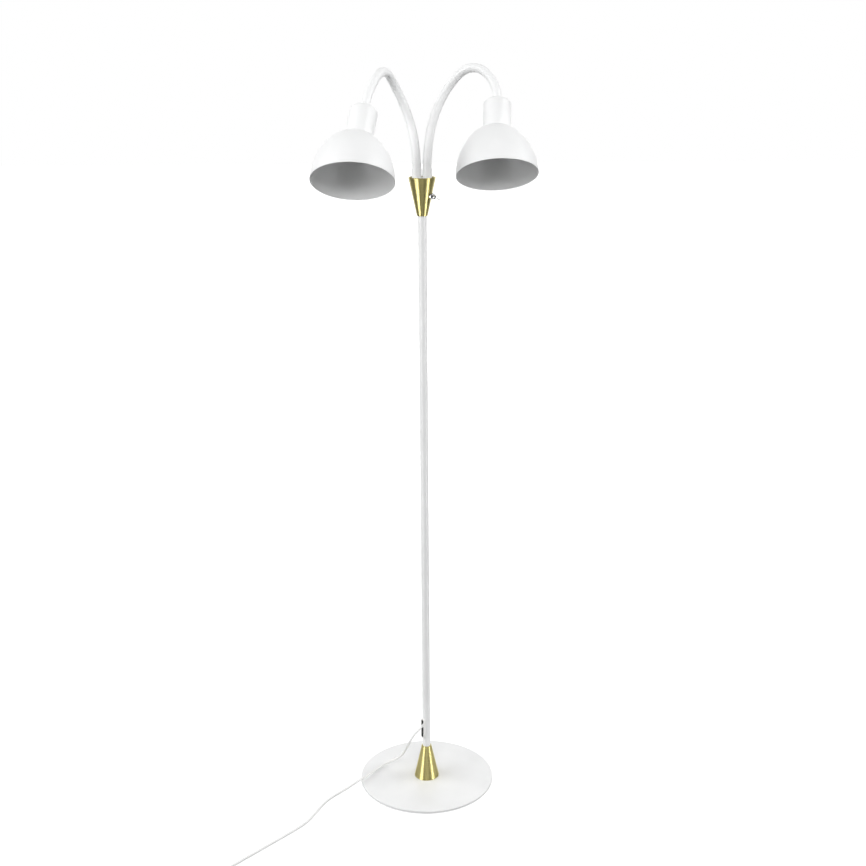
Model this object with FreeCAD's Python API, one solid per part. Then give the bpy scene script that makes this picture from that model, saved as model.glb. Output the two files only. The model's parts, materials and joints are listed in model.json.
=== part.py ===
import FreeCAD, Part
import math
import os

# A two-arm floor lamp in millimetres: +Z up, the front towards -Y, the origin on the floor under the pole.
Vector = FreeCAD.Vector
UP = Vector(0, 0, 1)
ORIGIN = Vector(0, 0, 0)

# Clearances
slip_gap = 0.1          # round the plugs, threads and tapers that are screwed or pushed together
running_gap = 0.3       # between curved faces that move against each other
cut_margin = 1.0        # how far a cutting shape runs past the face that it opens

# Base
pad_diameter = 262.0
pad_thickness = 1.5
plate_diameter = 270.0
plate_thickness = 5.0
plate_edge_round = 1.0
base_bolt_diameter = 8.0
base_bolt_length = 24.0
base_bolt_head_diameter = 20.0
base_bolt_head_height = 2.3
bolt_slot_width = 2.0
bolt_slot_depth = 1.0

# Brass cones: one stands on the plate, the other is upside down and carries the arms
cone_wide_diameter = 50.0
cone_narrow_diameter = 19.5
cone_height = 69.0
cone_wall = 2.0
cone_edge_round = 1.2
cone_neck_length = 12.0

# Pole
pole_diameter = 16.0
pole_wall = 1.5
pole_seam_height = 613.0
pole_seam_chamfer = 0.5
funnel_height = 1153.0
pole_socket_depth = 8.0
insert_length = 25.0
funnel_floor = 3.0

# Hollow threaded nipples and their hexagon nuts
nipple_diameter = 10.0
nipple_bore = 7.0
nipple_engagement = 18.0
nut_across_flats = 14.0
nut_height = 4.0
nut_corner_diameter = 15.4
thread_end = 3.0

# Cable outlet in the pole
outlet_height = 116.5
outlet_azimuth = 220.0
outlet_slot_length = 41.0
outlet_slot_width = 8.0
grommet_flange_rim = 1.6
grommet_proud = 2.5
grommet_inside = 2.0
grommet_wall = 1.1
cable_diameter = 5.0

# Arm plate in the mouth of the upper cone
arm_spacing = 19.0
arm_plate_thickness = 5.0
arm_plate_recess = 2.0

# Gooseneck arms: equal arcs, each given by how far it bends and towards which side,
# counted from straight outwards (0) round towards the front (positive) or the back (negative)
arm_diameter = 16.0
arm_bore = 9.0
arm_arc_length = 60.0
ferrule_diameter = 17.5
ferrule_above_rim = 15.0
ferrule_socket_depth = 11.0
left_bends = [(24.0, -62.0), (29.0, 62.5), (47.0, 83.0), (75.0, 46.0), (17.0, 82.5)]
right_bends = [(23.5, -65.0), (14.5, 3.5), (37.5, 53.5), (80.5, 22.0), (44.0, 42.0)]

# Heads
cup_diameter = 49.0
cup_length = 55.0
cup_wall = 1.5
cup_shoulder_drop = 9.0
cup_flat_diameter = 19.0
stem_spigot_length = 5.0
shade_mouth_diameter = 143.0
shade_crown_radius = 62.0
shade_height = 89.0
shade_wall = 1.2
shade_hole_diameter = 29.0
left_shade_angle = 8.0
right_shade_angle = 3.5
washer_diameter = 46.0
washer_thickness = 1.5
holder_diameter = 28.0
holder_cap_height = 12.0
holder_shell_length = 30.0
holder_thread_bore = 14.0
holder_thread_length = 25.0
holder_stem_depth = 8.0
contact_diameter = 8.0
contact_height = 2.5

# Toggle switch through the wall of the upper cone
switch_height_in_cone = 36.0
switch_azimuth = -27.0
switch_bushing_diameter = 8.0
switch_bushing_bore = 6.0
switch_bushing_proud = 8.5
switch_body_size = 12.0
switch_body_depth = 9.0
switch_body_setback = 2.0
switch_nut_diameter = 12.6
switch_nut_height = 6.0
lever_ball_diameter = 4.6
lever_neck_diameter = 2.2
lever_end_diameter = 3.6
lever_length = 13.0
lever_pivot_out = 4.0
lever_rest_angle = 12.0
terminal_width = 3.0
terminal_thickness = 0.8
terminal_length = 5.0
terminal_spacing = 6.0

# Cord: its route from the outlet, over the plate and along the floor, chosen point by point
cord_exit_height = 122.0
cable_bend_height = 128.5
cable_top_clearance = 4.0
cord_points = [
    (-19.0, -14.0, 114.0),
    (-29.0, -14.0, 100.5),
    (-37.0, -6.0, 80.5),
    (-44.5, 8.0, 58.0),
    (-53.0, 23.0, 36.5),
    (-67.5, 38.0, 19.5),
    (-85.5, 38.0, 10.5),
    (-105.5, 15.0, 9.6),
    (-122.0, -11.5, 12.0),
    (-143.0, -38.5, 13.5),
    (-166.0, -53.0, 4.5),
    (-191.0, -76.0, 2.7),
    (-206.0, -100.0, 2.6),
    (-218.0, -130.0, 2.6),
    (-232.0, -163.0, 2.6),
    (-254.0, -190.0, 2.6),
    (-285.0, -223.0, 2.6),
    (-318.0, -259.0, 2.6),
    (-350.0, -293.0, 2.6),
    (-378.0, -322.0, 2.8),
    (-396.0, -345.0, 3.6),
]

# Coil of the cord's put-away length: two layers, wound in and then out again
coil_center_x = -363.0
coil_center_y = -368.0
coil_inner_radius = 17.0
coil_turn_pitch = 6.4
coil_turns_in = 3.5
coil_turns_out = 3.25
coil_layer_step = 5.5
coil_start_angle = 180.0
coil_tail_length = 28.0
coil_points_per_turn = 4
tie_width = 8.0
tie_thickness = 1.0
tie_angle = 60.0

# Plug
plug_relief_diameter = 9.0
plug_relief_length = 14.0
plug_body_length = 30.0
plug_body_width = 35.0
plug_corner_round = 5.0
plug_pin_diameter = 4.0
plug_pin_length = 19.0
plug_pin_spacing = 18.6
plug_pin_root = 5.0


# Shapes

def arc_edge(start, middle, end):
    return Part.Arc(start, middle, end).toShape()


def line_edge(start, end):
    return Part.LineSegment(start, end).toShape()


def lathe(outline):
    """Solid of revolution about Z from a closed outline of (radius, height) corners."""
    points = [Vector(radius, 0, height) for radius, height in outline]
    wire = Part.makePolygon(points + points[:1])
    return Part.Face(wire).revolve(ORIGIN, UP, 360)


def rod(diameter, start, direction, length):
    return Part.makeCylinder(diameter / 2, length, start, direction)


def ring(outer, inner, bottom, height):
    """Upright tube between two diameters."""
    bore = rod(inner, Vector(0, 0, bottom - cut_margin), UP, height + 2 * cut_margin)
    return rod(outer, Vector(0, 0, bottom), UP, height).cut(bore)


def hexagon(across_flats, height):
    sector = math.pi / 3
    corner = across_flats / 2 / math.cos(sector / 2)
    points = [Vector(corner * math.cos(sector * k), corner * math.sin(sector * k), 0) for k in range(6)]
    return Part.Face(Part.makePolygon(points + points[:1])).extrude(UP * height)


def hex_nut(bottom):
    """Hexagon nut with turned corners and a bore that clears its nipple, standing on a level."""
    nut = hexagon(nut_across_flats, nut_height)
    nut = nut.common(ring(nut_corner_diameter, nipple_diameter + 2 * slip_gap, 0, nut_height))
    nut.translate(Vector(0, 0, bottom))
    return nut


def nipple(bottom, top):
    return ring(nipple_diameter, nipple_bore, bottom, top - bottom)


def stadium(width, height, depth):
    """Upright oval bar along +X: straight sides, round ends at the top and the bottom."""
    half = width / 2
    rise = height / 2 - half
    wire = Part.Wire([
        line_edge(Vector(0, -half, -rise), Vector(0, -half, rise)),
        arc_edge(Vector(0, -half, rise), Vector(0, 0, rise + half), Vector(0, half, rise)),
        line_edge(Vector(0, half, rise), Vector(0, half, -rise)),
        arc_edge(Vector(0, half, -rise), Vector(0, 0, -rise - half), Vector(0, -half, -rise)),
    ])
    return Part.Face(wire).extrude(Vector(depth, 0, 0))


def moved(shape, placement):
    copy = shape.copy()
    copy.Placement = placement.multiply(copy.Placement)
    return copy


def turned(vector, axis, degrees):
    return FreeCAD.Rotation(axis, degrees).multVec(vector)


def pipe(wire, diameter, direction):
    """Round tube along a wire that starts along a direction."""
    start = wire.OrderedVertexes[0].Point
    section = Part.Wire(Part.makeCircle(diameter / 2, start, direction))
    return wire.makePipeShell([section], True, False)


nodes = {}


# Levels
plate_bottom = pad_thickness
plate_top = plate_bottom + plate_thickness
pole_top = funnel_height + pole_socket_depth
pole_bore = pole_diameter - 2 * pole_wall
funnel_top = funnel_height + cone_height
funnel_floor_top = pole_top + funnel_floor
cone_slope = (cone_wide_diameter - cone_narrow_diameter) / 2 / cone_height
insert_diameter = pole_bore - 2 * slip_gap


# Base
def make_base():
    nodes["base_pad"] = rod(pad_diameter, ORIGIN, UP, pad_thickness)
    plate = rod(plate_diameter, Vector(0, 0, plate_bottom), UP, plate_thickness)
    rims = [edge for edge in plate.Edges if edge.Curve.TypeId == "Part::GeomCircle"]
    plate = plate.makeFillet(min(plate_edge_round, 0.4 * plate_thickness), rims)
    recess_depth = base_bolt_head_height + slip_gap
    recess = rod(base_bolt_head_diameter + 4 * slip_gap, Vector(0, 0, plate_bottom - cut_margin), UP,
                 recess_depth + cut_margin)
    hole = rod(base_bolt_diameter + 4 * slip_gap, Vector(0, 0, plate_bottom), UP,
               plate_thickness + cut_margin)
    nodes["base_plate"] = plate.cut(recess).cut(hole)

    head_bottom = plate_bottom + slip_gap
    head = rod(base_bolt_head_diameter, Vector(0, 0, head_bottom), UP, base_bolt_head_height)
    shank = rod(base_bolt_diameter, Vector(0, 0, head_bottom), UP, base_bolt_head_height + base_bolt_length)
    slot = Part.makeBox(base_bolt_head_diameter, bolt_slot_width, bolt_slot_depth,
                        Vector(-base_bolt_head_diameter / 2, -bolt_slot_width / 2, head_bottom))
    nodes["base_bolt"] = head.fuse(shank).cut(slot)


# Cones
def cone_shell(seat_depth):
    """Hollow cone, wide end down at level 0, with a bored neck at its narrow end that seats the pole."""
    wide, narrow = cone_wide_diameter / 2, cone_narrow_diameter / 2
    bore = pole_diameter / 2 + slip_gap
    neck_bottom = cone_height - seat_depth
    inner_top = wide - cone_slope * neck_bottom - cone_wall
    shell = lathe([(wide - cone_wall, 0), (wide, 0), (narrow, cone_height), (bore, cone_height),
                   (bore, neck_bottom), (max(bore, inner_top), neck_bottom)])
    rims = [edge for edge in shell.Edges if edge.Curve.TypeId == "Part::GeomCircle"
            and (abs(edge.Curve.Radius - wide) < slip_gap or abs(edge.Curve.Radius - narrow) < slip_gap)]
    limit = 0.45 * min(cone_wall, narrow - bore)
    return shell.makeFillet(min(cone_edge_round, limit), rims)


def make_cones():
    base_cone = cone_shell(cone_neck_length)
    base_cone.translate(Vector(0, 0, plate_top))
    nodes["base_cone"] = base_cone

    funnel = cone_shell(pole_socket_depth + funnel_floor)
    floor_bottom = Vector(0, 0, cone_height - pole_socket_depth - funnel_floor)
    floor = rod(pole_diameter + 4 * slip_gap, floor_bottom, UP, funnel_floor)
    funnel = funnel.fuse(floor)
    funnel = funnel.cut(rod(nipple_diameter + 2 * slip_gap, ORIGIN, UP, cone_height + cut_margin))
    turn_over = FreeCAD.Placement(Vector(0, 0, funnel_top), FreeCAD.Rotation(Vector(1, 0, 0), 180))
    funnel = moved(funnel, turn_over)
    hole = rod(switch_bushing_diameter + 2 * slip_gap, switch_seat - switch_axis * 4 * cone_wall, switch_axis,
               8 * cone_wall)
    nodes["arm_funnel"] = funnel.cut(hole)


# Pole
def outlet_placement():
    return FreeCAD.Placement(Vector(0, 0, outlet_height), FreeCAD.Rotation(UP, outlet_azimuth))


def make_pole():
    outer, bore, chamfer = pole_diameter / 2, pole_bore / 2, min(pole_seam_chamfer, pole_wall / 2)
    lower = lathe([(bore, plate_top), (outer, plate_top), (outer, pole_seam_height - chamfer),
                   (outer - chamfer, pole_seam_height), (bore, pole_seam_height)])
    slot = stadium(outlet_slot_width, outlet_slot_length, pole_diameter)
    nodes["lower_pole"] = lower.cut(moved(slot, outlet_placement()))
    nodes["upper_pole"] = lathe([(bore, pole_seam_height), (outer - chamfer, pole_seam_height),
                                 (outer, pole_seam_height + chamfer), (outer, pole_top), (bore, pole_top)])

    bolt_bore = base_bolt_diameter + 2 * slip_gap
    nodes["pole_foot_plug"] = ring(insert_diameter, bolt_bore, plate_top, insert_length)
    thread_bore = nipple_diameter + 2 * slip_gap
    seam = pole_seam_height
    nodes["lower_insert"] = ring(insert_diameter, thread_bore, seam - insert_length, insert_length)
    nodes["upper_insert"] = ring(insert_diameter, thread_bore, seam, insert_length)
    nodes["top_insert"] = ring(insert_diameter, thread_bore, pole_top - insert_length, insert_length)
    nodes["joiner_nipple"] = nipple(seam - nipple_engagement, seam + nipple_engagement)
    nodes["funnel_nipple"] = nipple(pole_top - nipple_engagement, funnel_floor_top + nut_height + thread_end)
    nodes["funnel_nut"] = hex_nut(funnel_floor_top)


def make_outlet():
    """Oval grommet: a flange saddled on the pole, a liner through its slot and an opening for the cable."""
    face = pole_diameter / 2 + grommet_proud
    inside = pole_bore / 2 - grommet_inside
    rim = 2 * grommet_flange_rim
    flange = stadium(outlet_slot_width + rim, outlet_slot_length + rim, face)
    flange = flange.cut(rod(pole_diameter, Vector(0, 0, -outlet_slot_length), UP, 2 * outlet_slot_length))
    front = [edge for edge in flange.Edges if edge.BoundBox.XMin > face - slip_gap]
    flange = flange.makeFillet(0.4 * min(grommet_proud, grommet_flange_rim), front)
    width, height = outlet_slot_width - 2 * slip_gap, outlet_slot_length - 2 * slip_gap
    liner = stadium(width, height, face - inside - grommet_flange_rim)
    liner.translate(Vector(inside, 0, 0))
    opening = stadium(width - 2 * grommet_wall, height - 2 * grommet_wall, pole_diameter)
    nodes["cord_grommet"] = moved(flange.fuse(liner).cut(opening), outlet_placement())


# Arms
def arm_frames(side, bends):
    """Start, direction, bending direction and angle of each arc of an arm, and where its last arc ends."""
    point = Vector(side * arm_spacing / 2, 0, funnel_top + ferrule_above_rim)
    along = UP
    outward = Vector(side, 0, 0)
    arcs = []
    for bend, towards in bends:
        front = along.cross(outward) * -side
        aim = math.radians(towards)
        lean = outward * math.cos(aim) + front * math.sin(aim)
        arcs.append((point, along, lean, bend))
        axis = along.cross(lean)
        center = point + lean * (arm_arc_length / math.radians(bend))
        point = center + turned(point - center, axis, bend)
        along = turned(along, axis, bend)
        outward = turned(outward, axis, bend)
    return arcs, point, along


def arc_rod(arc, diameter):
    """Round rod along one arc of an arm."""
    start, along, lean, bend = arc
    center = start + lean * (arm_arc_length / math.radians(bend))
    disc = Part.Face(Part.Wire(Part.makeCircle(diameter / 2, start, along)))
    return disc.revolve(center, along.cross(lean), bend)


def gooseneck_link(arcs, index, end, end_along):
    """One stiff length of an arm: a ball at its upper end turns in the hollow of the next one."""
    start, along = arcs[index][0], arcs[index][1]
    stop, stop_along = (arcs[index + 1][0], arcs[index + 1][1]) if index + 1 < len(arcs) else (end, end_along)
    body = arc_rod(arcs[index], arm_diameter)
    bore = [arc_rod(arcs[index], arm_bore)]
    if index == 0:
        stub = ferrule_socket_depth - slip_gap
        body = body.fuse(rod(arm_diameter, start - along * stub, along, stub))
        bore.append(rod(arm_bore, start - along * ferrule_socket_depth, along, ferrule_socket_depth))
    else:
        body = body.cut(Part.makeSphere(arm_diameter / 2 + running_gap, start))
    if index + 1 < len(arcs):
        body = body.fuse(Part.makeSphere(arm_diameter / 2, stop, stop_along, 0, 90, 360))
        bore.append(rod(arm_bore, stop, stop_along, arm_diameter))
    for hollow in bore:
        body = body.cut(hollow)
    return body


def make_ferrule(side):
    """Turned collar that holds the foot of an arm and runs down through the arm plate as a hollow thread."""
    bottom = funnel_top - arm_plate_recess
    top = funnel_top + ferrule_above_rim
    stud_bottom = bottom - arm_plate_thickness - nut_height - thread_end
    socket = arm_diameter / 2 + slip_gap
    bore, thread, outer = nipple_bore / 2, nipple_diameter / 2, ferrule_diameter / 2
    socket_bottom = top - ferrule_socket_depth
    collar = lathe([(bore, stud_bottom), (thread, stud_bottom), (thread, bottom), (outer, bottom),
                    (outer, top), (socket, top), (socket, socket_bottom), (bore, socket_bottom)])
    collar.translate(Vector(side * arm_spacing / 2, 0, 0))
    return collar


def make_arm_plate():
    top = funnel_top - arm_plate_recess
    bottom = top - arm_plate_thickness
    edge = cone_wide_diameter / 2 - cone_wall - slip_gap
    plate = lathe([(0, bottom), (edge - cone_slope * (funnel_top - bottom), bottom),
                   (edge - cone_slope * (funnel_top - top), top), (0, top)])
    nuts = []
    for side in (-1, 1):
        center = Vector(side * arm_spacing / 2, 0, 0)
        plate = plate.cut(rod(nipple_diameter + 2 * slip_gap, center + UP * (bottom - cut_margin), UP,
                              arm_plate_thickness + 2 * cut_margin))
        nut = hex_nut(bottom - nut_height)
        nut.translate(center)
        nuts.append(nut)
    nodes["arm_plate"] = plate
    nodes["arm_nuts"] = Part.makeCompound(nuts)


# Heads, each modelled upright with its origin where the arm meets the cup
cup_rim_above_center = math.sqrt((shade_crown_radius + running_gap) ** 2 - (cup_diameter / 2) ** 2)
swivel_level = -cup_length - cup_rim_above_center
shade_mouth_level = shade_crown_radius - shade_height


def crown_point(radius, reach):
    """Point this far from the head's axis on a sphere of this radius about the swivel point."""
    return Vector(radius, 0, swivel_level + math.sqrt(reach ** 2 - radius ** 2))


def crown_edge(inner, outer, reach):
    return arc_edge(*[crown_point(radius, reach) for radius in (inner, (inner + outer) / 2, outer)])


def make_cup():
    """Lampholder cover: flat top, rounded shoulder, straight sides, rim hollowed for the shade's crown."""
    outer, flat, drop = cup_diameter / 2, cup_flat_diameter / 2, cup_shoulder_drop
    inner, inner_flat = outer - cup_wall, flat - cup_wall / 2
    bow = math.sqrt(0.5)
    hole = nipple_diameter / 2 + slip_gap
    rim = shade_crown_radius + running_gap

    def shoulder(radius, start, level, height):
        spread = radius - start
        return arc_edge(Vector(start, 0, level), Vector(start + spread * bow, 0, level - height * (1 - bow)),
                        Vector(radius, 0, level - height))

    edges = [line_edge(Vector(hole, 0, 0), Vector(flat, 0, 0)),
             shoulder(outer, flat, 0, drop),
             line_edge(Vector(outer, 0, -drop), crown_point(outer, rim)),
             crown_edge(inner, outer, rim),
             line_edge(crown_point(inner, rim), Vector(inner, 0, -drop - cup_wall)),
             shoulder(inner, inner_flat, -cup_wall, drop),
             line_edge(Vector(inner_flat, 0, -cup_wall), Vector(hole, 0, -cup_wall)),
             line_edge(Vector(hole, 0, -cup_wall), Vector(hole, 0, 0))]
    return Part.Face(Part.Wire(Part.__sortEdges__(edges))).revolve(ORIGIN, UP, 360)


def make_shade():
    """Bell in its own frame, about the swivel point: a round crown and a side arc, upright at the mouth."""
    mouth, crown, depth = shade_mouth_diameter / 2, shade_crown_radius, -shade_mouth_level
    side = (mouth ** 2 + depth ** 2 - crown ** 2) / (2 * (mouth - crown))
    side_center = Vector(mouth - side, 0, shade_mouth_level)
    join = math.atan2(depth, side - mouth)

    def edge_of_bell(inset):
        """Crown arc and side arc of the outer face, or of the inner one, set in by the wall."""
        small, large = crown - inset, side - inset
        tilt = math.asin(shade_hole_diameter / 2 / small)
        point = [Vector(small * math.sin(a), 0, small * math.cos(a))
                 for a in (tilt, (tilt + math.pi / 2 - join) / 2, math.pi / 2 - join)]
        rest = [side_center + Vector(large * math.cos(a), 0, large * math.sin(a)) for a in (join / 2, 0)]
        return point[0], rest[1], [arc_edge(*point), arc_edge(point[2], rest[0], rest[1])]

    outer_top, outer_rim, outer = edge_of_bell(0)
    inner_top, inner_rim, inner = edge_of_bell(shade_wall)
    edges = outer + inner + [line_edge(outer_top, inner_top), line_edge(outer_rim, inner_rim)]
    return Part.Face(Part.Wire(Part.__sortEdges__(edges))).revolve(ORIGIN, UP, 360)


def make_head_pieces():
    """Pieces inside and under a cup: stem, nut, dished washer and lampholder."""
    washer_outside = shade_crown_radius - shade_wall - running_gap
    washer_inside = washer_outside - washer_thickness
    thread_bore = nipple_diameter + 2 * slip_gap
    ends = (thread_bore / 2, washer_diameter / 2)
    edges = [crown_edge(*ends, reach) for reach in (washer_inside, washer_outside)]
    edges += [line_edge(crown_point(end, washer_inside), crown_point(end, washer_outside)) for end in ends]
    washer = Part.Face(Part.Wire(Part.__sortEdges__(edges))).revolve(ORIGIN, UP, 360)

    cap_top = swivel_level + math.sqrt(washer_inside ** 2 - (holder_diameter / 2) ** 2) - slip_gap
    cap_bottom = cap_top - holder_cap_height
    cap = ring(holder_diameter, thread_bore, cap_bottom, holder_cap_height)
    shell_bottom = cap_bottom - holder_shell_length
    shell = rod(holder_diameter - 4 * slip_gap, Vector(0, 0, shell_bottom), UP, holder_shell_length)
    shell = shell.cut(rod(holder_thread_bore, Vector(0, 0, shell_bottom - cut_margin), UP,
                          holder_thread_length + cut_margin))
    contact_bottom = Vector(0, 0, shell_bottom + holder_thread_length)
    contact = rod(contact_diameter, contact_bottom, UP, contact_height)
    shell = shell.cut(rod(contact_diameter + 2 * slip_gap, contact_bottom, UP, contact_height))

    stem_bottom = cap_top - holder_stem_depth
    sharpest = max(math.radians(bends[-1][0]) / arm_arc_length for bends in (left_bends, right_bends))
    spigot = arm_bore / 2 - slip_gap - sharpest * stem_spigot_length ** 2 / 2
    bore, thread = nipple_bore / 2, nipple_diameter / 2
    stem = lathe([(bore, stem_bottom), (thread, stem_bottom), (thread, 0), (spigot, 0),
                  (spigot, stem_spigot_length), (bore, stem_spigot_length)])
    return {"head_stem": stem, "cup_nut": hex_nut(-cup_wall - nut_height), "shade_washer": washer,
            "lampholder_cap": cap, "lampholder_shell": shell, "lampholder_contact": contact}


def head_placement(tip, along):
    """The head hangs along the arm's last direction, its own Y as near to the lamp's as that allows."""
    up = along * -1
    back = Vector(0, 1, 0) - up * up.y
    back.normalize()
    return FreeCAD.Placement(tip, FreeCAD.Rotation(back.cross(up), back, up, "ZYX"))


def shade_placement(head, angle):
    """The shade turns about the head's own Y at its swivel point."""
    turn = FreeCAD.Rotation(Vector(0, 1, 0), -angle)
    return head.multiply(FreeCAD.Placement(Vector(0, 0, swivel_level), turn))


def make_arms():
    cup, shade, pieces = make_cup(), make_shade(), make_head_pieces()
    for name, side, bends, angle in arms:
        arcs, tip, along = arm_frames(side, bends)
        nodes[name + "_ferrule"] = make_ferrule(side)
        for index in range(len(arcs)):
            nodes[f"{name}_gooseneck_{index + 1}"] = gooseneck_link(arcs, index, tip, along)
        head = head_placement(tip, along)
        nodes[name + "_socket_cup"] = moved(cup, head)
        for piece, shape in pieces.items():
            nodes[f"{name}_{piece}"] = moved(shape, head)
        nodes[name + "_shade"] = moved(shade, shade_placement(head, angle))


arms = [("left", -1, left_bends, left_shade_angle), ("right", 1, right_bends, right_shade_angle)]


# Switch: its axis is square to the cone's wall
switch_radius = cone_narrow_diameter / 2 + cone_slope * switch_height_in_cone
switch_out = turned(Vector(1, 0, 0), UP, switch_azimuth)
switch_seat = switch_out * switch_radius + UP * (funnel_height + switch_height_in_cone)
switch_axis = (switch_out - UP * cone_slope).normalize()
switch_side = UP.cross(switch_axis).normalize()
lever_pivot = switch_seat + switch_axis * lever_pivot_out


def switch_placement(origin, turn):
    """Frame of the switch at a point: X out along its axis, Y level, turned about Y to tip the lever."""
    upright = switch_axis.cross(switch_side)
    frame = FreeCAD.Placement(origin, FreeCAD.Rotation(switch_axis, switch_side, upright, "XYZ"))
    return frame.multiply(FreeCAD.Placement(ORIGIN, FreeCAD.Rotation(Vector(0, 1, 0), turn)))


def make_switch():
    along = Vector(1, 0, 0)
    body_front = -cone_wall - switch_body_setback
    body_back = body_front - switch_body_depth
    half = switch_body_size / 2
    corner = Vector(body_back, -half, -half)
    body = Part.makeBox(switch_body_depth, switch_body_size, switch_body_size, corner)
    body = body.makeFillet(0.1 * switch_body_size, body.Edges)
    bushing = rod(switch_bushing_diameter, along * body_front, along, switch_bushing_proud - body_front)
    pocket = lever_pivot_out - lever_ball_diameter / 2 - running_gap
    bore_length = switch_bushing_proud - pocket + cut_margin
    bushing = bushing.cut(rod(switch_bushing_bore, along * pocket, along, bore_length))
    outer, inner = switch_nut_diameter / 2, switch_bushing_diameter / 2 + slip_gap
    nut = lathe([(inner, slip_gap), (outer, slip_gap), (outer, switch_nut_height / 2),
                 ((outer + inner) / 2, switch_nut_height), (inner, switch_nut_height)])
    nut = moved(nut, FreeCAD.Placement(ORIGIN, FreeCAD.Rotation(Vector(0, 1, 0), 90)))
    tabs = []
    for sign in (-1, 1):
        level = sign * terminal_spacing / 2 - terminal_thickness / 2
        tabs.append(Part.makeBox(terminal_length, terminal_thickness, terminal_width,
                                 Vector(body_back - terminal_length, level, -terminal_width / 2)))
    ball = Part.makeSphere(lever_ball_diameter / 2)
    bat = Part.makeCone(lever_neck_diameter / 2, lever_end_diameter / 2, lever_length, ORIGIN, along)
    knob = Part.makeSphere(lever_end_diameter / 2, along * lever_length)
    lever = ball.fuse(bat).fuse(knob)

    at_rest = switch_placement(switch_seat, 0)
    nodes["switch_body"] = moved(body, at_rest)
    nodes["switch_bushing"] = moved(bushing, at_rest)
    nodes["switch_nut"] = moved(nut, at_rest)
    nodes["switch_terminals"] = Part.makeCompound([moved(tab, at_rest) for tab in tabs])
    nodes["switch_lever"] = moved(lever, switch_placement(lever_pivot, lever_rest_angle))


# Cord
def rounded_route(points):
    """Wire of straight runs and tangent arcs through a route's corners, and the arcs' radii."""
    edges, radii = [], []
    here = points[0]
    for before, corner, after in zip(points, points[1:], points[2:]):
        back, ahead = (before - corner), (after - corner)
        reach = 0.45 * min(back.Length, ahead.Length)
        turn = math.pi - back.getAngle(ahead)
        radius = reach / math.tan(turn / 2)
        back.normalize()
        ahead.normalize()
        first, last = corner + back * reach, corner + ahead * reach
        inward = (back + ahead).normalize()
        middle = corner + inward * (radius / math.cos(turn / 2) - radius)
        edges += [line_edge(here, first), arc_edge(first, middle, last)]
        radii.append(radius)
        here = last
    edges.append(line_edge(here, points[-1]))
    return Part.Wire(edges), radii


def biarc(start, start_along, end, end_along):
    """Two tangent arcs from one point and direction to another, with equal arms."""
    chord = end - start
    both = start_along + end_along
    square = 2 * (1 - start_along.dot(end_along))
    along = chord.dot(both)
    arm = (-along + math.sqrt(along ** 2 + square * chord.dot(chord))) / square
    first, second = start + start_along * arm, end - end_along * arm
    joint = (first + second) * 0.5

    def bow(begin, corner, finish):
        half = begin.sub(corner).getAngle(finish - corner) / 2
        inward = ((begin - corner).normalize() + (finish - corner).normalize()).normalize()
        return arc_edge(begin, corner + inward * (arm / math.cos(half) - arm * math.tan(half)), finish)

    return [bow(start, first, joint), bow(joint, second, end)]


coil_level = tie_thickness + running_gap + cable_diameter / 2
coil_outer_radius = coil_inner_radius + coil_turn_pitch * coil_turns_in
coil_climb_turns = 0.5


def coil_point(turn):
    """Point of the coil after a number of turns: in on the floor, half a turn up, and out on top."""
    wound_in = min(turn, coil_turns_in)
    climbed = min(max(turn - coil_turns_in, 0), coil_climb_turns) / coil_climb_turns
    wound_out = max(turn - coil_turns_in - coil_climb_turns, 0)
    radius = coil_outer_radius - coil_turn_pitch * (wound_in - wound_out)
    angle = math.radians(coil_start_angle + 360 * turn)
    rise = coil_layer_step * climbed * climbed * (3 - 2 * climbed)
    return Vector(coil_center_x + radius * math.cos(angle), coil_center_y + radius * math.sin(angle),
                  coil_level + rise)


def coil_direction(turn):
    step = 1e-4
    return (coil_point(turn + step) - coil_point(turn - step)).normalize()


def coil_frame(turn):
    """Point and direction at a turn, level everywhere but on the climb."""
    return coil_point(turn), coil_direction(turn)


def make_coil():
    total = coil_turns_in + coil_climb_turns + coil_turns_out
    count = round(total * coil_points_per_turn)
    frames = [coil_frame(total * k / count) for k in range(count + 1)]
    entry = frames[0][0] - frames[0][1] * cable_diameter
    tail = frames[-1][0] + frames[-1][1] * coil_tail_length
    edges = [line_edge(entry, frames[0][0])]
    for (start, start_along), (end, end_along) in zip(frames, frames[1:]):
        edges += biarc(start, start_along, end, end_along)
    edges.append(line_edge(frames[-1][0], tail))
    wire = Part.Wire(edges)
    nodes["cord_coil"] = pipe(wire, cable_diameter, frames[0][1])
    report_tube("coil", nodes["cord_coil"], wire)

    samples = [coil_point(total * k / (24 * count)) for k in range(24 * count + 1)]
    apart = 24 * coil_points_per_turn // 2
    gap = min((a - b).Length for i, a in enumerate(samples) for b in samples[i + apart:]) - cable_diameter
    print(f"coil's least gap to itself {gap:.2f}")
    return entry, frames[0][1], tail, frames[-1][1], wire.Length


def report_tube(name, solid, wire):
    share = solid.Volume / (wire.Length * math.pi * cable_diameter ** 2 / 4)
    print(f"{name}: length {wire.Length:.1f}, volume over section times length {share:.4f}")


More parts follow.
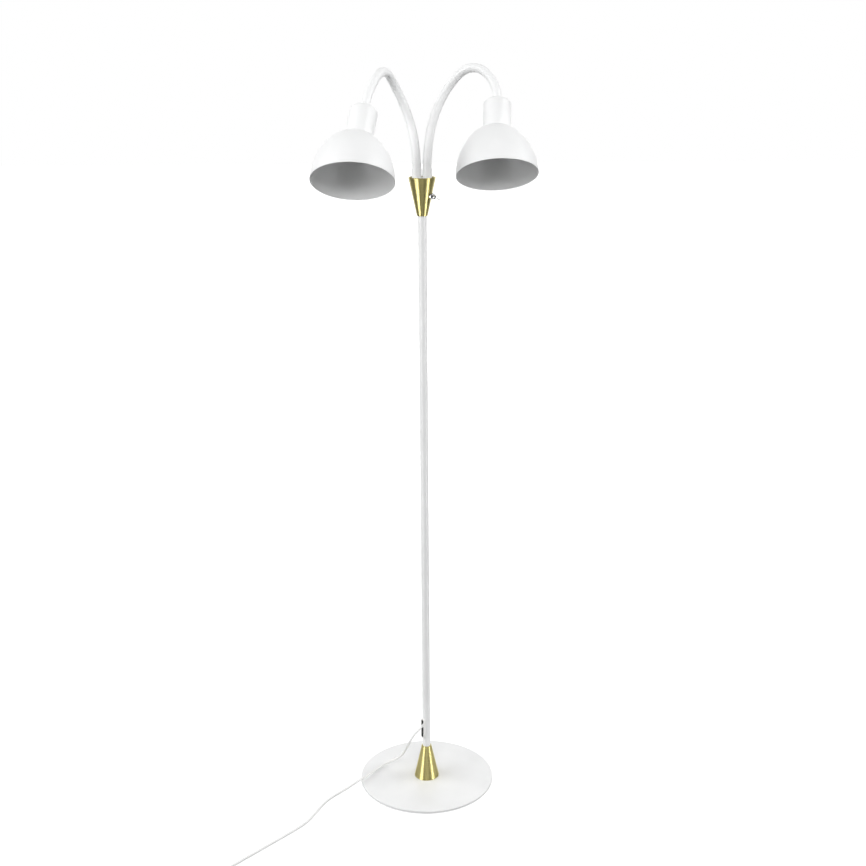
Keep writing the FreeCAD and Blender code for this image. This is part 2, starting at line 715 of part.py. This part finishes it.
def make_cord():
    entry, entry_along, tail, tail_along, coil_length = make_coil()
    exit_out = turned(Vector(1, 0, 0), UP, outlet_azimuth)
    exit_point = exit_out * (pole_diameter / 2 + grommet_proud) + UP * cord_exit_height
    bend = Vector(0, 0, cable_bend_height)
    route = [exit_point] + [Vector(*point) for point in cord_points] + [entry]
    wire, radii = rounded_route(route)
    nodes["cord"] = pipe(wire, cable_diameter, (route[1] - route[0]).normalize())
    report_tube("cord", nodes["cord"], wire)
    print("cord radii", [round(radius) for radius in radii])
    print(f"cord and coil together {wire.Length + coil_length:.1f}")

    cable_top = funnel_floor_top + nut_height + thread_end + cable_top_clearance
    cable, radii = rounded_route([Vector(0, 0, cable_top), bend, exit_point])
    nodes["pole_cable"] = pipe(cable, cable_diameter, UP * -1)
    report_tube("pole cable", nodes["pole_cable"], cable)
    make_tie()
    make_plug(tail, tail_along)


def make_tie():
    """Flat band once round the coil's bundle."""
    spread = cable_diameter / 2 + running_gap
    sagitta = coil_inner_radius - math.sqrt(coil_inner_radius ** 2 - (tie_width / 2) ** 2)
    low, high = coil_inner_radius - spread - sagitta, coil_outer_radius + spread
    top = coil_level + coil_layer_step + spread
    outer = Part.makeBox(high - low + 2 * tie_thickness, tie_width, top + tie_thickness,
                         Vector(low - tie_thickness, -tie_width / 2, 0))
    inner = Part.makeBox(high - low, tie_width + 2 * cut_margin, top - tie_thickness,
                         Vector(low, -tie_width / 2 - cut_margin, tie_thickness))
    band = outer.cut(inner)
    place = FreeCAD.Placement(Vector(coil_center_x, coil_center_y, 0), FreeCAD.Rotation(UP, tie_angle))
    nodes["cord_tie"] = moved(band, place)


def make_plug(tail, along):
    """Two-pin plug lying flat on the floor at the coil's end: tapered relief, flat body, round pins."""
    half_height = tail.z
    side = UP.cross(along).normalize()
    place = FreeCAD.Placement(tail, FreeCAD.Rotation(along, side, UP, "ZXY"))
    ahead = Vector(1, 0, 0)
    relief_radius = plug_relief_diameter / 2
    relief = Part.makeCone(relief_radius - cut_margin, relief_radius, plug_relief_length, ORIGIN, ahead)
    body = Part.makeBox(plug_body_length, plug_body_width, 2 * half_height,
                        Vector(plug_relief_length, -plug_body_width / 2, -half_height))
    upright = [edge for edge in body.Edges if edge.BoundBox.ZLength > half_height]
    body = body.makeFillet(min(plug_corner_round, 0.4 * plug_body_width), upright)
    pins = []
    face = plug_relief_length + plug_body_length
    for sign in (-1, 1):
        root = Vector(face - plug_pin_root, sign * plug_pin_spacing / 2, 0)
        pin = rod(plug_pin_diameter, root, ahead, plug_pin_root + plug_pin_length)
        pin = pin.makeFillet(0.4 * plug_pin_diameter / 2, [pin.Edges[0]])
        body = body.cut(rod(plug_pin_diameter + 2 * slip_gap, root, ahead, plug_pin_root + cut_margin))
        pins.append(pin)
    nodes["plug_body"] = moved(relief.fuse(body), place)
    nodes["plug_pins"] = Part.makeCompound([moved(pin, place) for pin in pins])


make_base()
make_cones()
make_pole()
make_outlet()
make_arm_plate()
make_arms()
make_switch()
make_cord()

os.makedirs("parts", exist_ok=True)
for node, shape in nodes.items():
    shape.exportStep(f"parts/{node}.step")
print(len(nodes), "nodes,", "not valid:", [node for node, shape in nodes.items() if not shape.isValid()])
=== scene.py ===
import json
import math

import bpy
from mathutils import Matrix, Quaternion, Vector


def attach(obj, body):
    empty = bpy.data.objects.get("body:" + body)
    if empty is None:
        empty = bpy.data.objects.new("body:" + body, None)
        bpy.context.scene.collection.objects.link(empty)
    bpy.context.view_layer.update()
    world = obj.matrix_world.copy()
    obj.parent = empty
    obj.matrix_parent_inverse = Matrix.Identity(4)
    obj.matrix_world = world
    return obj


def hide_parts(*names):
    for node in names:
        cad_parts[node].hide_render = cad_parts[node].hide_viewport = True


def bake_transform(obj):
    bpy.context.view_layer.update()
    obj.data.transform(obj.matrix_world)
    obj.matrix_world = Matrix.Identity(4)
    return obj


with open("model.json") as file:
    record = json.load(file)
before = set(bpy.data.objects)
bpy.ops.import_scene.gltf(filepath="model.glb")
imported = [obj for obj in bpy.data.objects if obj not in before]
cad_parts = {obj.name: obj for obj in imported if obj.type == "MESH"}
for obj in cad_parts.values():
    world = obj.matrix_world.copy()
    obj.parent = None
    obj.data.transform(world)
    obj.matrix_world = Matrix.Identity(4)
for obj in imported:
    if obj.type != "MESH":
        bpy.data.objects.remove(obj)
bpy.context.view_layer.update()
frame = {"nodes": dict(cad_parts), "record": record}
nodes = frame["nodes"]
scene = bpy.context.scene
scene.view_settings.view_transform = "Standard"
UP = Vector((0, 0, 1))

# Camera, fitted to the photograph's frame of 866 by 866: metres, degrees and millimetres
CAMERA_PLACE = (0.017, -2.359, 1.4545)
CAMERA_PITCH = 73.2
CAMERA_ROLL = -0.34
CAMERA_LENS = 53.9
CAMERA_SENSOR = 36.0

# Goosenecks, in metres, with the ribs of their wound strip
ARM_RADIUS = 0.008
ARM_SPACING = 0.019
ARM_FOOT = 1.237
ARM_ARC = 0.060
ARM_IN_FERRULE = 0.0105
RIB_PITCH = 0.0032
RIB_DEPTH = 0.00022
RIB_SHARPNESS = 1.6
RIB_STEPS = 6
NECK_SIDES = 40

# Side of each arm, and the angle of each of its arcs with the direction it bends in, in degrees
ARMS = {
    "left": (-1, [(24, -62), (29, 62.5), (47, 83), (75, 46), (17, 82.5)]),
    "right": (1, [(23.5, -65), (14.5, 3.5), (37.5, 53.5), (80.5, 22), (44, 42)]),
}

# Cord, in metres: its free stretch, then its coil
CORD_DIAMETER = 0.005
CORD_ROUND_STEPS = 6
CORD_RUN_STEPS = 8
CORD_ORDER = 3
CORD_EXIT = (-0.008043, -0.006749, 0.122)
CORD_ROUTE = [
    (-0.019, -0.014, 0.114),
    (-0.029, -0.014, 0.1005),
    (-0.037, -0.006, 0.0805),
    (-0.0445, 0.008, 0.058),
    (-0.053, 0.023, 0.0365),
    (-0.0675, 0.038, 0.0195),
    (-0.0855, 0.038, 0.0105),
    (-0.1055, 0.015, 0.0096),
    (-0.122, -0.0115, 0.012),
    (-0.143, -0.0385, 0.0135),
    (-0.166, -0.053, 0.0045),
    (-0.191, -0.076, 0.0027),
    (-0.206, -0.100, 0.0026),
    (-0.218, -0.130, 0.0026),
    (-0.232, -0.163, 0.0026),
    (-0.254, -0.190, 0.0026),
    (-0.285, -0.223, 0.0026),
    (-0.318, -0.259, 0.0026),
    (-0.350, -0.293, 0.0026),
    (-0.378, -0.322, 0.0028),
    (-0.396, -0.345, 0.0036),
]
COIL_CENTER = (-0.363, -0.368)
COIL_INNER = 0.017
COIL_PITCH = 0.0064
COIL_TURNS_IN = 3.5
COIL_TURNS_OUT = 3.25
COIL_CLIMB = 0.5
COIL_LEVEL = 0.0038
COIL_STEP = 0.0055
COIL_START = 180
COIL_TAIL = 0.028
COIL_POINTS = 24

# Cord outlet: the lower pole's bore, unpainted and darkened with painted shade, the long opening of
# the grommet, whose walls get painted shade, and how dark that painted shade is, which ends within a
# factor of the edge
BORE_RADIUS = 0.0066
OUTLET_AZIMUTH = 220
OUTLET_HEIGHT = 0.1165
OUTLET_STRAIGHT = 0.0165
OUTLET_WALL = 0.003
PAINTED_SHADE = 0.14
INSIDE_EDGE = 1.02

# Part of a noise's range that roughness follows
NOISE_LOW = 0.3
NOISE_HIGH = 0.7

# Floor: half its width, its grey where it is seen and where it only sends light back, and its
# glow, which changes between two distances from the pole from a first strength to a second
FLOOR_HALF = 14.0
FLOOR_SEEN = 0.8
FLOOR_BOUNCE = 0.15
FLOOR_FADE = {"From Min": 0.5, "From Max": 1.6, "To Min": 0.55, "To Max": 1.0}

# Sky: its light on the object, and its strength where it is seen
SKY_LIGHT = 0.31
SKY_SEEN = 1.0

# Rays that see the white floor and sky, and rays that see the studio's sides
BACKGROUND_RAYS = ("Is Camera Ray", "Is Glossy Ray", "Is Transmission Ray")
MIRROR_RAYS = ("Is Glossy Ray",)

# Lamps: place, target, width, height and power
LAMPS = {
    "low_left": ((-3.6, -2.2, 1.3), (0, 0, 1.0), 1.6, 2.2, 56),
    "low_right": ((3.6, -2.2, 1.3), (0, 0, 1.0), 1.6, 2.2, 23),
    "front_high": ((0.3, -3.2, 4.6), (0, 0, 0.9), 3.0, 2.4, 20),
    "front_middle": ((0.1, -3.2, 3.0), (0, 0, 1.0), 2.4, 1.2, 54),
    "left": ((-4.2, 0.3, 2.6), (0, 0, 0.9), 3.0, 3.0, 81),
    "right": ((4.2, 0.3, 2.6), (0, 0, 0.9), 3.0, 3.0, 91),
    "back": ((0.0, 4.2, 1.3), (0, 0, 0.9), 3.0, 2.0, 16),
}

# Sides that the metal mirrors: first and last azimuth, distance, height and glow
DARK_SIDE = 0.05
BRIGHT_SIDE = 8.0
SIDES = {
    "dark_front": (-35, 50, 3.0, 5.0, DARK_SIDE),
    "dark_left": (-130, -67, 3.4, 3.4, DARK_SIDE),
    "dark_right": (77, 130, 3.4, 3.4, DARK_SIDE),
    "bright_left": (-58, -42, 3.2, 5.0, BRIGHT_SIDE),
    "bright_right": (56, 70, 3.2, 5.0, BRIGHT_SIDE),
}

# Each side's part of the floor: where it begins, its level, and the steps of its curved edges
SIDE_START = 0.6
SIDE_LEVEL = 0.002
SIDE_STEPS = 12


def add_object(name, data):
    """New object in the scene."""
    obj = bpy.data.objects.new(name, data)
    scene.collection.objects.link(obj)
    return obj


# Materials

class Shader:
    """A node material with one principled shader and helpers for what feeds it."""

    def __init__(self, name, **constants):
        self.material = bpy.data.materials.new(name)
        self.material.use_nodes = True
        self.tree = self.material.node_tree
        self.main = self.tree.nodes["Principled BSDF"]
        for socket, value in constants.items():
            self.main.inputs[socket.replace("_", " ")].default_value = value
        self.place = self.add("ShaderNodeTexCoord").outputs["Object"]

    def add(self, kind, **settings):
        node = self.tree.nodes.new(kind)
        for key, value in settings.items():
            setattr(node, key, value)
        return node

    def join(self, source, target):
        self.tree.links.new(source, target)

    def noise(self, scale, detail, stretch=None):
        """Noise over the object's coordinates, drawn out along the axes that stretch makes small."""
        node = self.add("ShaderNodeTexNoise")
        node.inputs["Scale"].default_value = scale
        node.inputs["Detail"].default_value = detail
        place = self.moved("POINT", Scale=stretch) if stretch else self.place
        self.join(place, node.inputs["Vector"])
        return node.outputs["Fac"]

    def colours(self, fac, low, high, start=0.35, end=0.65):
        """Base colour between two colours, after a value."""
        ramp = self.add("ShaderNodeValToRGB")
        ramp.color_ramp.elements[0].position = start
        ramp.color_ramp.elements[0].color = (*low, 1)
        ramp.color_ramp.elements[1].position = end
        ramp.color_ramp.elements[1].color = (*high, 1)
        self.join(fac, ramp.inputs["Fac"])
        self.join(ramp.outputs["Color"], self.main.inputs["Base Color"])

    def rough(self, fac, low, high):
        """Roughness between two values, after a noise."""
        span = self.add("ShaderNodeMapRange")
        span.inputs["From Min"].default_value = NOISE_LOW
        span.inputs["From Max"].default_value = NOISE_HIGH
        span.inputs["To Min"].default_value = low
        span.inputs["To Max"].default_value = high
        self.join(fac, span.inputs["Value"])
        self.join(span.outputs["Result"], self.main.inputs["Roughness"])

    def maths(self, operation, value, other=0.0):
        node = self.add("ShaderNodeMath", operation=operation)
        node.inputs[1].default_value = other
        self.join(value, node.inputs[0])
        return node.outputs["Value"]

    def moved(self, kind, **sockets):
        """The object's coordinates through a mapping of this kind."""
        node = self.add("ShaderNodeMapping", vector_type=kind)
        for socket, value in sockets.items():
            node.inputs[socket].default_value = value
        self.join(self.place, node.inputs["Vector"])
        return node.outputs["Vector"]

    def length(self, vector):
        node = self.add("ShaderNodeVectorMath", operation="LENGTH")
        self.join(vector, node.inputs[0])
        return node.outputs["Value"]

    def paint_shade(self, distance, edge):
        """Paints shade: darkens the base colour where a distance is below an edge."""
        span = self.add("ShaderNodeMapRange")
        span.inputs["From Min"].default_value = edge
        span.inputs["From Max"].default_value = edge * INSIDE_EDGE
        span.inputs["To Min"].default_value = PAINTED_SHADE
        scaled = self.add("ShaderNodeVectorMath", operation="SCALE")
        colour = self.main.inputs["Base Color"]
        self.join(distance, span.inputs["Value"])
        self.join(colour.links[0].from_socket, scaled.inputs[0])
        self.join(span.outputs["Result"], scaled.inputs["Scale"])
        self.join(scaled.outputs["Vector"], colour)

    def bump(self, fac, depth, strength):
        relief = self.add("ShaderNodeBump")
        relief.inputs["Strength"].default_value = strength
        relief.inputs["Distance"].default_value = depth
        self.join(fac, relief.inputs["Height"])
        self.join(relief.outputs["Normal"], self.main.inputs["Normal"])


def enamel(name, low, high, gloss, bore=None):
    """Baked paint, faintly cloudy, with orange peel and an uneven gloss; a tube's bore is bare,
    unpainted, and darkened with painted shade.
    """
    shader = Shader(name, IOR=1.5)
    shader.colours(shader.noise(scale=14, detail=4), low, high)
    shader.rough(shader.noise(scale=60, detail=3), gloss - 0.05, gloss + 0.06)
    shader.bump(shader.noise(scale=1400, detail=2), depth=0.00004, strength=0.35)
    # Painted shade: the colour inside the bore's radius is darkened
    if bore:
        shader.paint_shade(shader.length(shader.moved("POINT", Scale=(1, 1, 0))), bore)
    return shader.material


def brushed_metal(name, low, high, gloss, anisotropy):
    """Metal turned on a lathe: fine rings round the axis that draw its reflections out along it."""
    shader = Shader(name, Metallic=1.0, Anisotropic=anisotropy, Anisotropic_Rotation=0.25)
    rings = shader.noise(scale=1.0, detail=4, stretch=(60, 60, 5200))
    bands = shader.noise(scale=1.0, detail=4, stretch=(40, 40, 900))
    shader.colours(bands, low, high, start=0.3, end=0.7)
    shader.rough(rings, gloss - 0.06, gloss + 0.08)
    shader.bump(rings, depth=0.00002, strength=0.25)
    tangent = shader.add("ShaderNodeTangent", direction_type="RADIAL", axis="Z")
    shader.join(tangent.outputs["Tangent"], shader.main.inputs["Tangent"])
    return shader.material


def plated(name, low, high, gloss):
    """Bright plating with a faint haze and polishing marks."""
    shader = Shader(name, Metallic=1.0)
    shader.colours(shader.noise(scale=120, detail=3), low, high)
    shader.rough(shader.noise(scale=260, detail=3), gloss, gloss + 0.08)
    shader.bump(shader.noise(scale=900, detail=2), depth=0.00002, strength=0.15)
    return shader.material


def moulded(name, low, high, gloss, grain, depth, outlet=False):
    """Moulded plastic or sheath with a fine grain; the walls of the cord outlet are darkened with
    painted shade.
    """
    shader = Shader(name, IOR=1.46)
    shader.colours(shader.noise(scale=30, detail=3), low, high)
    shader.rough(shader.noise(scale=90, detail=3), gloss - 0.06, gloss + 0.06)
    shader.bump(shader.noise(scale=grain, detail=2), depth=depth, strength=0.4)
    # Painted shade on the walls of the grommet's long opening
    if outlet:
        turned = (0, 0, math.radians(OUTLET_AZIMUTH))
        facing = shader.moved("TEXTURE", Location=(0, 0, OUTLET_HEIGHT), Rotation=turned)
        across = shader.add("ShaderNodeSeparateXYZ")
        shader.join(facing, across.inputs[0])
        level = shader.maths("ABSOLUTE", across.outputs["Z"])
        past = shader.maths("SUBTRACT", level, OUTLET_STRAIGHT)
        off = shader.add("ShaderNodeCombineXYZ")
        shader.join(across.outputs["Y"], off.inputs["Y"])
        shader.join(shader.maths("MAXIMUM", past), off.inputs["Z"])
        shader.paint_shade(shader.length(off.outputs["Vector"]), OUTLET_WALL)
    return shader.material


def felt(name, low, high):
    """Pressed felt: short crossed fibres and a soft sheen."""
    shader = Shader(name, Roughness=0.95, Sheen_Weight=0.4)
    fibres = shader.noise(scale=900, detail=5, stretch=(1, 1, 0.3))
    shader.colours(fibres, low, high)
    shader.bump(fibres, depth=0.0003, strength=0.7)
    return shader.material


# Two colours and a gloss for each look; grain and its depth for what is moulded
WHITE_ENAMEL = ((0.845, 0.85, 0.85), (0.885, 0.89, 0.89), 0.36)
TURNED_BRASS = ((0.55, 0.485, 0.205), (0.65, 0.575, 0.245), 0.4)
BRIGHT_CHROME = ((0.6, 0.605, 0.61), (0.7, 0.705, 0.71), 0.06)
ZINC_PLATE = ((0.52, 0.53, 0.54), (0.64, 0.64, 0.63), 0.32)
WHITE_MOULDING = ((0.82, 0.82, 0.8), (0.86, 0.86, 0.845), 0.38, 700, 0.00005)
BLACK_MOULDING = ((0.02, 0.02, 0.02), (0.04, 0.04, 0.04), 0.5, 700, 0.00005)
CORD_SHEATH = ((0.87, 0.87, 0.865), (0.91, 0.91, 0.905), 0.46, 500, 0.00006)
TIE_STRAP = ((0.7, 0.7, 0.68), (0.78, 0.78, 0.76), 0.6, 1200, 0.0001)
BASE_FELT = ((0.02, 0.02, 0.02), (0.07, 0.07, 0.07))

MATERIALS = {
    "white_paint": enamel("white_enamel", *WHITE_ENAMEL),
    "brass": brushed_metal("turned_brass", *TURNED_BRASS, anisotropy=1.0),
    "chrome": plated("bright_chrome", *BRIGHT_CHROME),
    "zinc_steel": plated("zinc_plate", *ZINC_PLATE),
    "white_plastic": moulded("white_moulding", *WHITE_MOULDING),
    "black_plastic": moulded("black_moulding", *BLACK_MOULDING),
    "cord_sheath": moulded("cord_sheath", *CORD_SHEATH),
    "tie": moulded("tie_strap", *TIE_STRAP),
    "felt": felt("base_felt", *BASE_FELT),
}
# The lower pole and the grommet get materials of their own, which carry painted shade in the bore
# and in the outlet
OWN_MATERIALS = {
    "lower_pole": enamel("enamelled_tube", *WHITE_ENAMEL, bore=BORE_RADIUS),
    "cord_grommet": moulded("outlet_moulding", *WHITE_MOULDING, outlet=True),
}
slot_of = {part["node"]: part["material_slot"] for part in frame["record"]["subparts"]}


def paint(obj, material):
    """Gives every material place of an object one material."""
    if not obj.material_slots:
        obj.data.materials.append(None)
    for place in obj.material_slots:
        place.link = "OBJECT"
        place.material = material


def piece(obj, slot, *replaced):
    """Gives an object its material and hides the CAD nodes it stands for."""
    paint(obj, MATERIALS[slot])
    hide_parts(*replaced)


for node_name, node_object in nodes.items():
    paint(node_object, OWN_MATERIALS.get(node_name, MATERIALS[slot_of[node_name]]))


# Camera
def make_camera():
    lens = bpy.data.cameras.new("camera")
    lens.sensor_width = CAMERA_SENSOR
    lens.lens = CAMERA_LENS
    camera = add_object("camera", lens)
    pitch = Matrix.Rotation(math.radians(CAMERA_PITCH), 4, "X")
    roll = Matrix.Rotation(math.radians(CAMERA_ROLL), 4, "Z")
    camera.matrix_world = Matrix.Translation(CAMERA_PLACE) @ (pitch @ roll)
    scene.camera = camera


make_camera()


# Cord: its route, then the turns of its coil and the straight end in the plug
def coil_point(turn):
    """Point of the coil after some turns: in on the floor, half a turn up, and out on top."""
    wound_in = min(turn, COIL_TURNS_IN)
    climbed = min(max(turn - COIL_TURNS_IN, 0), COIL_CLIMB) / COIL_CLIMB
    wound_out = max(turn - COIL_TURNS_IN - COIL_CLIMB, 0)
    radius = COIL_INNER + COIL_PITCH * (COIL_TURNS_IN - wound_in + wound_out)
    angle = math.radians(COIL_START + 360 * turn)
    rise = COIL_STEP * climbed * climbed * (3 - 2 * climbed)
    return Vector((
        COIL_CENTER[0] + radius * math.cos(angle),
        COIL_CENTER[1] + radius * math.sin(angle),
        COIL_LEVEL + rise,
    ))


def make_cord():
    turns = COIL_TURNS_IN + COIL_CLIMB + COIL_TURNS_OUT
    count = round(turns * COIL_POINTS)
    coil = [coil_point(turns * k / count) for k in range(count + 1)]
    entry = coil[0] - (coil[1] - coil[0]).normalized() * CORD_DIAMETER
    tail = coil[-1] + (coil[-1] - coil[-2]).normalized() * COIL_TAIL
    points = [Vector(CORD_EXIT)] + [Vector(p) for p in CORD_ROUTE] + [entry] + coil + [tail]
    curve = bpy.data.curves.new("cord_line", "CURVE")
    curve.dimensions = "3D"
    curve.bevel_depth = CORD_DIAMETER / 2
    curve.bevel_resolution = CORD_ROUND_STEPS
    curve.resolution_u = CORD_RUN_STEPS
    curve.use_fill_caps = True
    spline = curve.splines.new("NURBS")
    spline.points.add(len(points) - 1)
    for place, point in zip(spline.points, points):
        place.co = (*point, 1)
    spline.order_u = CORD_ORDER
    spline.use_endpoint_u = True
    cord = add_object("cord_line", curve)
    piece(cord, "cord_sheath", "cord", "cord_coil")
    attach(cord, "stand")


make_cord()


# Goosenecks
def arm_arcs(side, bends):
    """Start, direction, outward side, bending direction and angle of each arc of an arm."""
    point = Vector((side * ARM_SPACING / 2, 0, ARM_FOOT))
    along, outward = UP.copy(), Vector((side, 0, 0))
    arcs = []
    for bend, towards in bends:
        front = along.cross(outward) * -side
        aim, angle = math.radians(towards), math.radians(bend)
        lean = outward * math.cos(aim) + front * math.sin(aim)
        arcs.append((point, along, outward, lean, angle))
        turn = Quaternion(along.cross(lean), angle)
        center = point + lean * (ARM_ARC / angle)
        point = center + turn @ (point - center)
        along, outward = turn @ along, turn @ outward
    return arcs


def arm_station(arcs, length):
    """Point, direction and two sides of an arm at a length from its foot."""
    index = min(max(int(length / ARM_ARC), 0), len(arcs) - 1)
    point, along, outward, lean, angle = arcs[index]
    if length < 0:
        return point + along * length, along, outward, along.cross(outward)
    turned = (length - index * ARM_ARC) / ARM_ARC * angle
    turn = Quaternion(along.cross(lean), turned)
    center = point + lean * (ARM_ARC / angle)
    along, outward = turn @ along, turn @ outward
    return center + turn @ (point - center), along, outward, along.cross(outward)


def neck_mesh(name, arcs, start, end):
    """Closed length of gooseneck with the shallow rounded ribs of its wound strip."""
    count = max(round((end - start) / RIB_PITCH * RIB_STEPS), 2)
    verts, faces = [], []
    for ring in range(count + 1):
        length = start + (end - start) * ring / count
        point, along, one, two = arm_station(arcs, length)
        for k in range(NECK_SIDES):
            share = k / NECK_SIDES
            crest = abs(math.cos(math.pi * (length / RIB_PITCH + share)))
            radius = ARM_RADIUS - RIB_DEPTH * (1 - crest) ** RIB_SHARPNESS
            around = 2 * math.pi * share
            verts.append(point + (one * math.cos(around) + two * math.sin(around)) * radius)
    for ring in range(count):
        low, high = ring * NECK_SIDES, (ring + 1) * NECK_SIDES
        for k in range(NECK_SIDES):
            after = (k + 1) % NECK_SIDES
            faces.append((low + k, low + after, high + after, high + k))
    faces.append(tuple(reversed(range(NECK_SIDES))))
    faces.append(tuple(range(count * NECK_SIDES, (count + 1) * NECK_SIDES)))
    mesh = bpy.data.meshes.new(name)
    mesh.from_pydata(verts, [], faces)
    mesh.polygons.foreach_set("use_smooth", [True] * (len(faces) - 2) + [False] * 2)
    mesh.update()
    return add_object(name, mesh)


def make_necks():
    """Each arm in lengths from mid-link to mid-link, each running across the joint between."""
    for name, (side, bends) in ARMS.items():
        arcs = arm_arcs(side, bends)
        last = len(arcs) - 1
        for k in range(last):
            first, second = (k + 0.5) * ARM_ARC, (k + 1.5) * ARM_ARC
            start = -ARM_IN_FERRULE if k == 0 else first
            end = len(arcs) * ARM_ARC if k == last - 1 else second
            obj = neck_mesh(f"{name}_neck_{k + 1}", arcs, start, end)
            foot = [f"{name}_gooseneck_1"] if k == 0 else []
            piece(obj, "white_paint", f"{name}_gooseneck_{k + 2}", *foot)
            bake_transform(obj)


make_necks()


# Studio: white floor and sky for the camera and for what mirrors them, soft light on the object
def grey(level):
    return level, level, level, 1


def blank_tree(owner):
    """Emptied node tree of a material or a world."""
    owner.use_nodes = True
    owner.node_tree.nodes.clear()
    return owner.node_tree


def any_ray(tree, kinds):
    """Socket that is 1 for rays of any of these kinds."""
    path = tree.nodes.new("ShaderNodeLightPath")
    ray = path.outputs[kinds[0]]
    for kind in kinds[1:]:
        either = tree.nodes.new("ShaderNodeMath")
        either.operation = "MAXIMUM"
        tree.links.new(ray, either.inputs[0])
        tree.links.new(path.outputs[kind], either.inputs[1])
        ray = either.outputs["Value"]
    return ray


def split_rays(tree, kinds, seen, otherwise, output):
    """Shows one shader to these kinds of ray and another to the rest."""
    mix = tree.nodes.new("ShaderNodeMixShader")
    surface = tree.nodes.new(output).inputs["Surface"]
    tree.links.new(any_ray(tree, kinds), mix.inputs["Fac"])
    tree.links.new(otherwise.outputs[0], mix.inputs[1])
    tree.links.new(seen.outputs[0], mix.inputs[2])
    tree.links.new(mix.outputs[0], surface)


def stage_face(name, corners, material):
    """Flat piece of the stage."""
    mesh = bpy.data.meshes.new(name)
    mesh.from_pydata(corners, [], [tuple(range(len(corners)))])
    obj = add_object(name, mesh)
    mesh.materials.append(material)


def diffuse(tree, level):
    node = tree.nodes.new("ShaderNodeBsdfDiffuse")
    node.inputs["Color"].default_value = grey(level)
    return node


def make_floor():
    """Floor with a glow that is weaker near the object, where shadows show."""
    material = bpy.data.materials.new("white_floor")
    tree = blank_tree(material)
    place = tree.nodes.new("ShaderNodeTexCoord")
    away = tree.nodes.new("ShaderNodeVectorMath")
    away.operation = "LENGTH"
    fade = tree.nodes.new("ShaderNodeMapRange")
    fade.interpolation_type = "SMOOTHSTEP"
    for socket, value in FLOOR_FADE.items():
        fade.inputs[socket].default_value = value
    glow = tree.nodes.new("ShaderNodeEmission")
    both = tree.nodes.new("ShaderNodeAddShader")
    tree.links.new(place.outputs["Object"], away.inputs[0])
    tree.links.new(away.outputs["Value"], fade.inputs["Value"])
    tree.links.new(fade.outputs["Result"], glow.inputs["Strength"])
    tree.links.new(diffuse(tree, FLOOR_SEEN).outputs[0], both.inputs[0])
    tree.links.new(glow.outputs[0], both.inputs[1])
    dull = diffuse(tree, FLOOR_BOUNCE)
    split_rays(tree, BACKGROUND_RAYS, both, dull, "ShaderNodeOutputMaterial")
    signs = ((-1, -1), (1, -1), (1, 1), (-1, 1))
    stage_face("floor", [(x * FLOOR_HALF, y * FLOOR_HALF, 0) for x, y in signs], material)


def backdrop(tree, strength):
    node = tree.nodes.new("ShaderNodeBackground")
    node.inputs["Color"].default_value = grey(1)
    node.inputs["Strength"].default_value = strength
    return node


def make_sky():
    world = bpy.data.worlds.new("studio")
    scene.world = world
    tree = blank_tree(world)
    white, dim = backdrop(tree, SKY_SEEN), backdrop(tree, SKY_LIGHT)
    split_rays(tree, BACKGROUND_RAYS, white, dim, "ShaderNodeOutputWorld")


def softbox(name, place, target, width, height, power):
    light = bpy.data.lights.new(name, "AREA")
    light.shape = "RECTANGLE"
    light.size, light.size_y = width, height
    light.energy = power
    obj = add_object(name, light)
    facing = (Vector(target) - Vector(place)).to_track_quat("-Z", "Y")
    obj.matrix_world = Matrix.Translation(place) @ facing.to_matrix().to_4x4()


def panel(name, corners, glow):
    """Studio panel that only mirroring surfaces see."""
    material = bpy.data.materials.new(name)
    tree = blank_tree(material)
    clear = tree.nodes.new("ShaderNodeBsdfTransparent")
    lit = tree.nodes.new("ShaderNodeEmission")
    lit.inputs["Strength"].default_value = glow
    split_rays(tree, MIRROR_RAYS, lit, clear, "ShaderNodeOutputMaterial")
    stage_face(name, corners, material)


def round_the_object(azimuth, distance, height):
    """Point at an azimuth, of which 0 is the front and 90 the right."""
    aim = math.radians(azimuth)
    return math.sin(aim) * distance, -math.cos(aim) * distance, height


def studio_side(name, start, end, distance, height, glow):
    """Panel between two azimuths with the part of the floor before it."""
    corners = ((start, 0), (end, 0), (end, height), (start, height))
    panel(name, [round_the_object(azimuth, distance, z) for azimuth, z in corners], glow)
    steps = [start + (end - start) * k / SIDE_STEPS for k in range(SIDE_STEPS + 1)]
    outer = [round_the_object(azimuth, distance, SIDE_LEVEL) for azimuth in steps]
    inner = [round_the_object(azimuth, SIDE_START, SIDE_LEVEL) for azimuth in reversed(steps)]
    panel(name + "_floor", outer + inner, glow)


make_floor()
make_sky()
for lamp_name, lamp in LAMPS.items():
    softbox(lamp_name, *lamp)
for side_name, side_place in SIDES.items():
    studio_side(side_name, *side_place)
